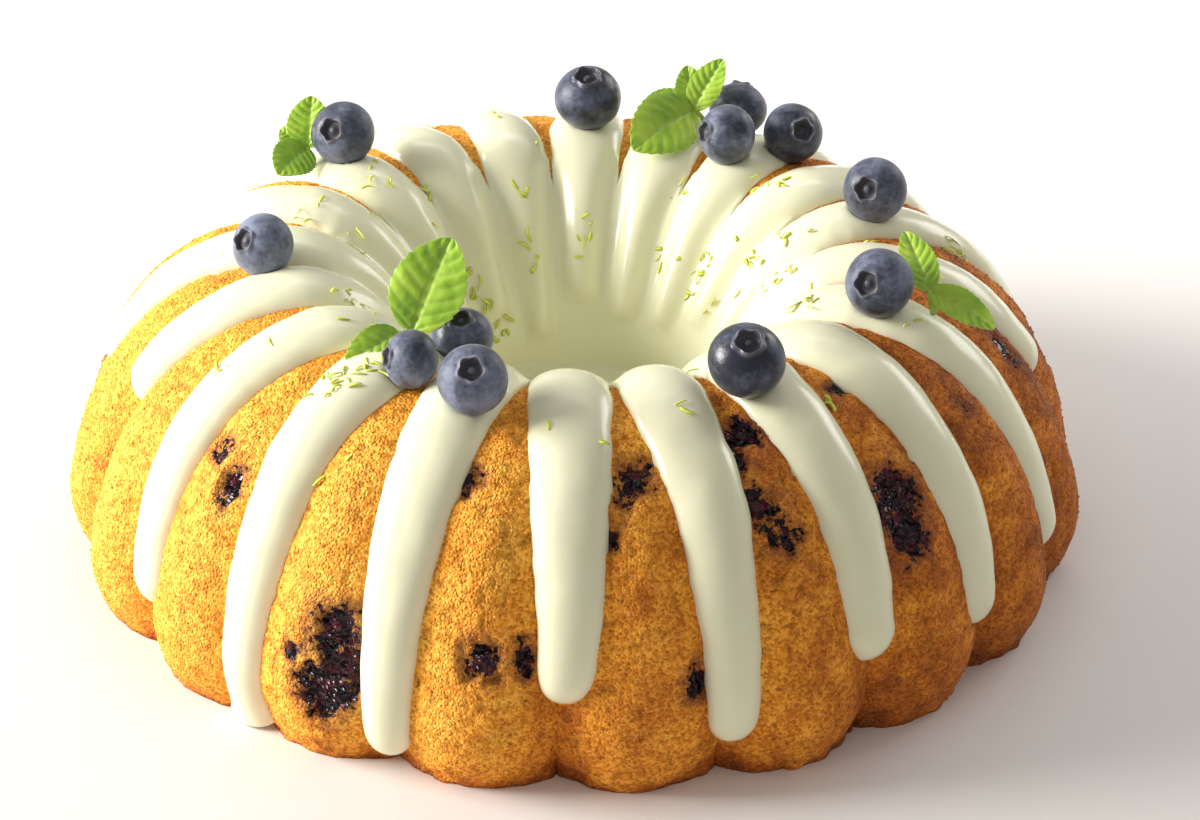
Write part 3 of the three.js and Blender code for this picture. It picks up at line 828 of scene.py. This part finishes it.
def add_stalk(shape, stem, heading):
    """The short stalk that holds a sprig in the icing."""
    turn = np.arange(STALK_SIDES) * 2 * PI / STALK_SIDES
    rows = []
    back = direction(heading + 180, -35)
    for share in np.linspace(0, 1, 6):
        centre = stem + back * STALK_LENGTH * share + np.array([0, 0, -1.2 * share**2])
        radius = 0.75 + 0.25 * share
        ring = np.outer(np.cos(turn), direction(heading + 90, 0)) + np.outer(np.sin(turn), [0, 0, 1.0])
        points = centre + ring * radius
        rows.append(shape.add_row(points, vein=np.full(STALK_SIDES, 0.8), underside=np.zeros(STALK_SIDES)))
    shape.tube(rows)


def sprig(name, index):
    (azimuth, radius, height), leaves = SPRIGS[name]
    turn = math.radians(azimuth)
    stem = np.array([radius * math.cos(turn), radius * math.sin(turn), height])
    shape = Shape()
    for number, leaf in enumerate(leaves):
        add_leaf(shape, stem, leaf, index * 5 + number)
    add_stalk(shape, stem, leaves[0][0])
    return shape.build(name + "_fine", [name], mint_material())


# Zest


def surface_lift(turn, station):
    """Lift of whatever lies on top at one place: bead, coat or crust."""
    index = int(round((turn - FIRST_VALLEY) / PITCH)) % LOBES
    middle, half = bead_path(index, np.array([station]))
    aside = (turn - middle[0] + PI) % (2 * PI) - PI
    share = aside / half[0]
    crust_top = float(flute_lift(turn, station))
    best = crust_top
    if abs(share) < 1 and station > station_at_height(BEAD_TIPS[index]):
        best = max(best, float(bead_dome(index, np.array([station]), np.array([share]), 1.0)[0]))
    if station > GAP_START:
        best = max(best, float(coat_lift(np.array([turn]), np.array([station]), 1.0)[0]))
    return best


def add_shred(shape, rng, azimuth, station, size):
    """One bent shred of zest lying on the surface."""
    lift = surface_lift(azimuth, station)
    base = ring_point(azimuth, station, lift + 0.12)
    normal = unit(ring_point(azimuth, station, lift + 1) - ring_point(azimuth, station, lift))
    start = rng.uniform(0, 2 * PI)
    east = unit(np.cross(normal, [0.2, 0.1, 0.97]))
    north = np.cross(normal, east)
    bend = rng.uniform(-1.5, 1.5)
    arch = rng.uniform(0.05, 0.6)
    twist = rng.uniform(-1.0, 1.0)
    width = rng.uniform(*SHRED_WIDTHS)
    steps = 9
    place = base.copy()
    rows = []
    for step in range(steps + 1):
        share = step / steps
        angle = start + bend * share
        ahead = math.cos(angle) * east + math.sin(angle) * north
        aside = np.cross(normal, ahead)
        roll = twist * (share - 0.5)
        flat = math.cos(roll) * aside + math.sin(roll) * normal
        thick = np.cross(ahead, flat)
        rise = normal * arch * math.sin(PI * share)
        taper = 0.35 + 0.65 * math.sin(PI * min(1, 0.12 + share * 0.8)) ** 0.5
        ring = [flat, 0.35 * thick, -flat, -0.35 * thick]
        points = [place + rise + corner * width * taper * 0.8 for corner in ring]
        rows.append(shape.add_row(points))
        place = place + ahead * size / steps
    shape.tube(rows)


def zest():
    """Fine shreds of lime peel, in clumps and scattered over the icing."""
    rng = np.random.default_rng(7)
    shape = Shape()
    for azimuth, radius, spread, count in ZEST_CLUMPS:
        turn = math.radians(azimuth)
        centre = np.array([radius * math.cos(turn), radius * math.sin(turn)])
        for _ in range(count):
            place = centre + rng.normal(0, spread * 0.55, 2)
            station = station_at_radius(float(np.clip(np.hypot(*place), 37, 124)))
            add_shred(shape, rng, math.atan2(place[1], place[0]), station, rng.uniform(*SHRED_LENGTHS))
    for _ in range(LOOSE_SHREDS):
        index = rng.integers(LOBES)
        turn = FIRST_VALLEY + index * PITCH + rng.normal(0, 0.05)
        add_shred(shape, rng, turn, rng.uniform(0.8, 1.7), rng.uniform(*LOOSE_LENGTHS))
    return shape.build("lime_zest", [], zest_material())


# Materials


def nodes_of(name):
    material = bpy.data.materials.new(name)
    material.use_nodes = True
    tree = material.node_tree
    tree.nodes.clear()
    output = tree.nodes.new("ShaderNodeOutputMaterial")
    shader = tree.nodes.new("ShaderNodeBsdfPrincipled")
    tree.links.new(shader.outputs["BSDF"], output.inputs["Surface"])
    return material, tree, shader


def fill(tree, shader, socket, value):
    """Links an output to a socket of the shader, or sets a plain value on it."""
    if isinstance(value, (int, float, tuple)):
        shader.inputs[socket].default_value = value
    else:
        tree.links.new(value, shader.inputs[socket])


def let_light_in(shader, weight, scale, radius=None):
    """Lets light soak into the surface a little way, in metres."""
    shader.inputs["Subsurface Weight"].default_value = weight
    shader.inputs["Subsurface Scale"].default_value = scale
    if radius:
        shader.inputs["Subsurface Radius"].default_value = radius


def coordinates(tree):
    return tree.nodes.new("ShaderNodeTexCoord").outputs["Object"]


def texture_noise(tree, scale, detail=4.0, roughness=0.55):
    """Noise with features of about one over the scale, in metres."""
    node = tree.nodes.new("ShaderNodeTexNoise")
    node.inputs["Scale"].default_value = scale
    node.inputs["Detail"].default_value = detail
    node.inputs["Roughness"].default_value = roughness
    tree.links.new(coordinates(tree), node.inputs["Vector"])
    return node.outputs["Fac"]


def texture_cells(tree, scale):
    """Random cells about one over the scale wide, in metres: distance from the middle, and a shade each."""
    node = tree.nodes.new("ShaderNodeTexVoronoi")
    node.inputs["Scale"].default_value = scale
    tree.links.new(coordinates(tree), node.inputs["Vector"])
    return node.outputs["Distance"], node.outputs["Color"]


def ramp(tree, value, stops):
    node = tree.nodes.new("ShaderNodeValToRGB")
    band = node.color_ramp
    while len(band.elements) < len(stops):
        band.elements.new(0.5)
    for element, (position, colour) in zip(band.elements, stops):
        element.position = position
        element.color = (*colour, 1)
    tree.links.new(value, node.inputs["Fac"])
    return node.outputs["Color"]


def blend(tree, share, first, second, mode="MIX"):
    """Mixes two colours, each an output or three numbers."""
    node = tree.nodes.new("ShaderNodeMix")
    node.data_type = "RGBA"
    node.blend_type = mode
    for socket, value in ((node.inputs[6], first), (node.inputs[7], second)):
        if isinstance(value, tuple):
            socket.default_value = (*value, 1)
        else:
            tree.links.new(value, socket)
    if isinstance(share, float):
        node.inputs[0].default_value = share
    else:
        tree.links.new(share, node.inputs[0])
    return node.outputs[2]


def calculate(tree, operation, *values):
    node = tree.nodes.new("ShaderNodeMath")
    node.operation = operation
    for socket, value in zip(node.inputs, values):
        if isinstance(value, (int, float)):
            socket.default_value = value
        else:
            tree.links.new(value, socket)
    return node.outputs[0]


def plus(tree, first, second):
    return calculate(tree, "ADD", first, second)


def times(tree, first, second):
    return calculate(tree, "MULTIPLY", first, second)


def shade_of(tree, name):
    node = tree.nodes.new("ShaderNodeAttribute")
    node.attribute_name = name
    return node.outputs["Fac"]


def spread_range(tree, value, low, high, to_low, to_high):
    node = tree.nodes.new("ShaderNodeMapRange")
    numbers = (low, high, to_low, to_high)
    for socket, number in zip(("From Min", "From Max", "To Min", "To Max"), numbers):
        node.inputs[socket].default_value = number
    tree.links.new(value, node.inputs["Value"])
    return node.outputs["Result"]


def add_bump(tree, shader, height, distance, strength=1.0):
    node = tree.nodes.new("ShaderNodeBump")
    node.inputs["Distance"].default_value = distance
    node.inputs["Strength"].default_value = strength
    tree.links.new(height, node.inputs["Height"])
    fill(tree, shader, "Normal", node.outputs["Normal"])


def crust_material():
    """Golden crumb, browner at the foot, with painted shade darkening the right side, painted glints on the
    brightest grains, painted shade in pores and pits, and wet, lumpy purple where berries burst.
    """
    material, tree, shader = nodes_of("cake_crust")
    grain, grain_shade = texture_cells(tree, 1350)
    lump, lump_shade = texture_cells(tree, 640)
    specks = texture_noise(tree, 700, 3, 0.6)
    mottle = texture_noise(tree, 160, 4)
    # This shade carries real browning and also painted shade on the right side of the ring.
    brown = plus(tree, shade_of(tree, "browning"), spread_range(tree, mottle, 0.3, 0.7, -0.12, 0.12))
    golden_stops = [
        (0.0, (0.94, 0.43, 0.038)),
        (0.3, (0.90, 0.335, 0.022)),
        (0.6, (0.58, 0.160, 0.009)),
        (1.0, (0.20, 0.045, 0.004)),
    ]
    golden = ramp(tree, brown, golden_stops)
    # Each grain gets its own shade, darker or lighter; the brightest, bluish-white grains are painted
    # glints, not a colour of the crumb.
    grain_and_glint_stops = [(0.3, (0.80, 0.68, 0.52)), (0.5, (1.0, 0.98, 1.0)), (0.72, (1.28, 1.42, 2.3))]
    sandy = blend(tree, 0.85, golden, ramp(tree, grain_shade, grain_and_glint_stops), "MULTIPLY")
    # Painted shade: the pores, which the bump sinks, and the pits and torn crust, which the mesh sinks, are
    # coloured darker.
    pores = spread_range(tree, specks, 0.31, 0.37, 0.6, 0.0)
    pore_shaded = blend(tree, pores, sandy, (0.30, 0.085, 0.008))
    painted_pit_shade = calculate(tree, "MINIMUM", times(tree, shade_of(tree, "pits"), 0.6), 0.7)
    pit_shaded = blend(tree, painted_pit_shade, pore_shaded, (0.27, 0.085, 0.010))
    ragged = plus(tree, shade_of(tree, "burst"), spread_range(tree, specks, 0.3, 0.7, -0.34, 0.34))
    soaked = plus(tree, ragged, spread_range(tree, mottle, 0.3, 0.7, -0.2, 0.2))
    stained = blend(tree, spread_range(tree, soaked, -0.75, 0.05, 0.0, 0.7), pit_shaded, (0.17, 0.046, 0.030))
    skin_stops = [(0.2, (0.005, 0.002, 0.005)), (0.55, (0.016, 0.004, 0.009)), (0.85, (0.10, 0.016, 0.026))]
    wet = spread_range(tree, ragged, -0.02, 0.06, 0.0, 1.0)
    fill(tree, shader, "Base Color", blend(tree, wet, stained, ramp(tree, lump_shade, skin_stops)))
    fill(tree, shader, "Roughness", spread_range(tree, wet, 0, 1, 0.72, 0.11))
    fill(tree, shader, "Specular IOR Level", 0.3)
    let_light_in(shader, 0.06, 0.002, (1.0, 0.4, 0.1))
    crumb_height = calculate(tree, "SUBTRACT", spread_range(tree, grain, 0, 0.6, 0.9, 0.0), pores)
    lump_height = spread_range(tree, lump, 0, 0.7, 2.6, 0.0)
    lumpy_part = times(tree, wet, lump_height)
    sandy_part = times(tree, calculate(tree, "SUBTRACT", 1.0, wet), crumb_height)
    add_bump(tree, shader, plus(tree, lumpy_part, sandy_part), 0.0005, 0.9)
    return material


def icing_material():
    """Ivory icing, smooth and glossy, faintly clouded."""
    material, tree, shader = nodes_of("ivory_icing")
    cloud = texture_noise(tree, 60, 3)
    colour = ramp(tree, cloud, [(0.3, (0.85, 0.83, 0.58)), (0.7, (0.87, 0.855, 0.62))])
    fill(tree, shader, "Base Color", colour)
    smear = texture_noise(tree, 220, 3)
    fill(tree, shader, "Roughness", spread_range(tree, smear, 0.3, 0.7, 0.20, 0.25))
    fill(tree, shader, "Specular IOR Level", 0.5)
    let_light_in(shader, 0.25, 0.002, (1.0, 0.8, 0.4))
    add_bump(tree, shader, texture_noise(tree, 110, 1), 0.0003, 0.4)
    return material


@cache
def berry_material():
    """Dark navy skin under a dusty bloom that is rubbed off in places, with painted shade darkening the sunk
    floor of the crown.
    """
    material, tree, shader = nodes_of("blueberry_skin")
    rubbed = texture_noise(tree, 140, 4, 0.6)
    dust = texture_noise(tree, 900, 3, 0.6)
    bloom = plus(tree, times(tree, rubbed, 0.8), times(tree, dust, 0.25))
    bloom = plus(tree, bloom, spread_range(tree, shade_of(tree, "bloom"), 0, 1, -0.16, 0.12))
    skin_stops = [(0.36, (0.016, 0.018, 0.032)), (0.5, (0.070, 0.080, 0.125)), (0.66, (0.185, 0.210, 0.300))]
    skin = ramp(tree, bloom, skin_stops)
    # Painted shade: the sunk floor of the crown is coloured near-black, darker than the skin, as if in
    # shadow.
    crown = ramp(tree, rubbed, [(0.3, (0.022, 0.020, 0.026)), (0.7, (0.075, 0.066, 0.076))])
    inside = blend(tree, times(tree, shade_of(tree, "sunk"), 0.95), skin, crown)
    edge = blend(tree, times(tree, shade_of(tree, "rim"), 0.45), inside, (0.21, 0.21, 0.26))
    fill(tree, shader, "Base Color", edge)
    fill(tree, shader, "Roughness", spread_range(tree, bloom, 0.35, 0.65, 0.28, 0.66))
    fill(tree, shader, "Specular IOR Level", 0.4)
    fill(tree, shader, "Sheen Weight", 0.15)
    add_bump(tree, shader, dust, 0.00018, 0.5)
    return material


@cache
def mint_material():
    """Fresh green, lighter along the veins and underneath."""
    material, tree, shader = nodes_of("mint_leaf")
    patches = texture_noise(tree, 110, 3)
    green_stops = [(0.3, (0.20, 0.38, 0.020)), (0.5, (0.34, 0.54, 0.035)), (0.7, (0.50, 0.66, 0.06))]
    green = ramp(tree, patches, green_stops)
    veined = blend(tree, times(tree, shade_of(tree, "vein"), 0.5), green, (0.50, 0.66, 0.16))
    colour = blend(tree, times(tree, shade_of(tree, "underside"), 0.5), veined, (0.36, 0.50, 0.18))
    fill(tree, shader, "Base Color", colour)
    fill(tree, shader, "Roughness", spread_range(tree, patches, 0.3, 0.7, 0.36, 0.5))
    let_light_in(shader, 0.2, 0.001, (0.6, 1.0, 0.2))
    add_bump(tree, shader, texture_noise(tree, 1500, 3), 0.00012, 0.6)
    return material


def zest_material():
    material, tree, shader = nodes_of("lime_zest")
    patches = texture_noise(tree, 300, 3)
    peel_stops = [(0.3, (0.50, 0.60, 0.035)), (0.5, (0.68, 0.74, 0.08)), (0.7, (0.82, 0.84, 0.30))]
    colour = ramp(tree, patches, peel_stops)
    fill(tree, shader, "Base Color", colour)
    fill(tree, shader, "Roughness", spread_range(tree, patches, 0.3, 0.7, 0.4, 0.6))
    let_light_in(shader, 0.2, 0.0008)
    add_bump(tree, shader, texture_noise(tree, 2500, 2), 0.0001, 0.5)
    return material


def floor_material():
    material, tree, shader = nodes_of("pale_floor")
    cloud = texture_noise(tree, 3, 2)
    colour = ramp(tree, cloud, [(0.3, (0.84, 0.80, 0.765)), (0.7, (0.87, 0.835, 0.80))])
    fill(tree, shader, "Base Color", colour)
    fill(tree, shader, "Roughness", 0.6)
    return material


# Studio

FOCAL_PIXELS = 3257
FRAME_WIDTH = 1200
CAMERA_ELEVATION = math.radians(29.76)
CAMERA_ROLL = math.radians(1.215)
CAMERA_DISTANCE = 863.2
CAMERA_TARGET = Vector((6.0, 49.77, 0))


def camera():
    """The photograph's view, looking down over the front of the ring."""
    rise, fall = math.sin(CAMERA_ELEVATION), math.cos(CAMERA_ELEVATION)
    ahead = Vector((0, fall, -rise))
    level_up = Vector((0, rise, fall))
    level_right = Vector((1, 0, 0))
    right = math.cos(CAMERA_ROLL) * level_right + math.sin(CAMERA_ROLL) * level_up
    up = math.cos(CAMERA_ROLL) * level_up - math.sin(CAMERA_ROLL) * level_right
    place = (CAMERA_TARGET - ahead * CAMERA_DISTANCE) * MM
    data = bpy.data.cameras.new("view")
    data.sensor_width = 36
    data.lens = FOCAL_PIXELS / FRAME_WIDTH * 36
    data.clip_start = 0.01
    data.clip_end = 20
    seen = bpy.data.objects.new("view", data)
    turn = Matrix((right, up, -ahead)).transposed().to_4x4()
    seen.matrix_world = Matrix.Translation(place) @ turn
    bpy.context.scene.collection.objects.link(seen)
    bpy.context.scene.camera = seen


def area_light(name, place, width, height, power, colour):
    data = bpy.data.lights.new(name, "AREA")
    data.shape = "RECTANGLE"
    data.size = width
    data.size_y = height
    data.energy = power
    data.color = colour
    lamp = bpy.data.objects.new(name, data)
    lamp.location = place
    lamp.rotation_euler = (Vector((0, 0, 0.04)) - Vector(place)).to_track_quat("-Z", "Y").to_euler()
    bpy.context.scene.collection.objects.link(lamp)
    return lamp


def studio():
    bpy.ops.mesh.primitive_plane_add(size=8)
    floor = bpy.context.object
    floor.name = "floor"
    floor.data.materials.append(floor_material())
    world = bpy.data.worlds.new("studio")
    world.use_nodes = True
    background = world.node_tree.nodes["Background"]
    background.inputs["Color"].default_value = (1.0, 0.99, 0.97, 1)
    background.inputs["Strength"].default_value = 0.40
    bpy.context.scene.world = world
    area_light("key", (-1.10, 0.02, 0.44), 0.6, 0.5, 28, (1.0, 0.98, 0.95))
    area_light("rear", (0.85, 0.75, 0.55), 0.6, 0.4, 4, (1.0, 0.99, 0.97))
    wash = area_light("floor_wash", (0.45, 0.95, 0.9), 1.6, 0.6, 14, (1.0, 1.0, 1.0))
    wash.rotation_euler = (0, 0, 0)
    wash.data.spread = math.radians(95)
    bpy.context.scene.view_settings.view_transform = "Standard"


crust()
crumbs()
icing()
for number, berry_name in enumerate(BERRIES):
    berry(berry_name, number)
for number, sprig_name in enumerate(SPRIGS):
    sprig(sprig_name, number)
zest()
camera()
studio()
